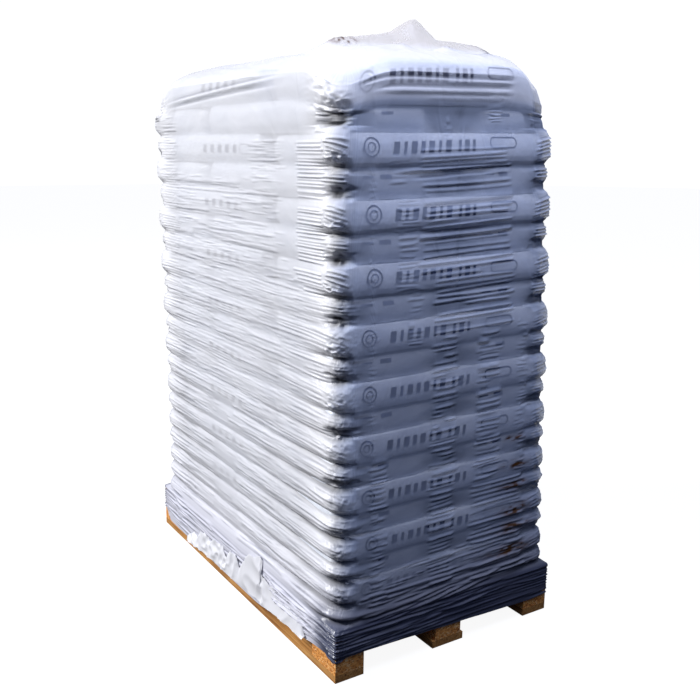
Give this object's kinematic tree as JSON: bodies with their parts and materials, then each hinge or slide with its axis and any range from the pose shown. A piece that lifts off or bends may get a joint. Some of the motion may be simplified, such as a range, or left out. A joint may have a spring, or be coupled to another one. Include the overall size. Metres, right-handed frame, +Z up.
{
  "type": "pallet of sacks",
  "caption": "Wooden block pallet carrying a tall interlocked stack of filled plastic sacks under a stretch film hood, open below for forks.",
  "frame": {"origin": "middle of the footprint, on the floor", "axes": "+Z up, +X to the right along the short side seen from the front, +Y from the front to the back along the long side"},
  "size_m": [0.806, 1.206, 1.7972],
  "materials": {
    "sawn_wood": "rough sawn softwood",
    "chipboard": "pressed wood chips, sawn faces",
    "sack_plastic": "soft polyethylene film, low gloss",
    "stretch_film": "milky translucent film, wrinkled"
  },
  "bodies": {
    "root": {"bottom_board_left": "sawn_wood", "bottom_board_middle": "sawn_wood", "bottom_board_right": "sawn_wood", "block_front_left": "chipboard", "block_front_middle": "chipboard", "block_front_right": "chipboard", "block_middle_left": "chipboard", "block_middle_middle": "chipboard", "block_middle_right": "chipboard", "block_back_left": "chipboard", "block_back_middle": "chipboard", "block_back_right": "chipboard", "stringer_board_front": "sawn_wood", "stringer_board_middle": "sawn_wood", "stringer_board_back": "sawn_wood", "deck_board_1": "sawn_wood", "deck_board_2": "sawn_wood", "deck_board_3": "sawn_wood", "deck_board_4": "sawn_wood", "deck_board_5": "sawn_wood", "deck_board_6": "sawn_wood", "deck_board_7": "sawn_wood", "sack_layer_01": "sack_plastic", "sack_layer_02": "sack_plastic", "sack_layer_03": "sack_plastic", "sack_layer_04": "sack_plastic", "sack_layer_05": "sack_plastic", "sack_layer_06": "sack_plastic", "sack_layer_07": "sack_plastic", "sack_layer_08": "sack_plastic", "sack_layer_09": "sack_plastic", "sack_layer_10": "sack_plastic", "sack_layer_11": "sack_plastic", "sack_layer_12": "sack_plastic", "sack_layer_13": "sack_plastic", "sack_layer_14": "sack_plastic", "sack_layer_15": "sack_plastic", "sack_layer_16": "sack_plastic", "sack_layer_17": "sack_plastic", "sack_layer_18": "sack_plastic", "sack_layer_19": "sack_plastic", "sack_layer_20": "sack_plastic", "film_hood": "stretch_film"}
  },
  "joints": []
}
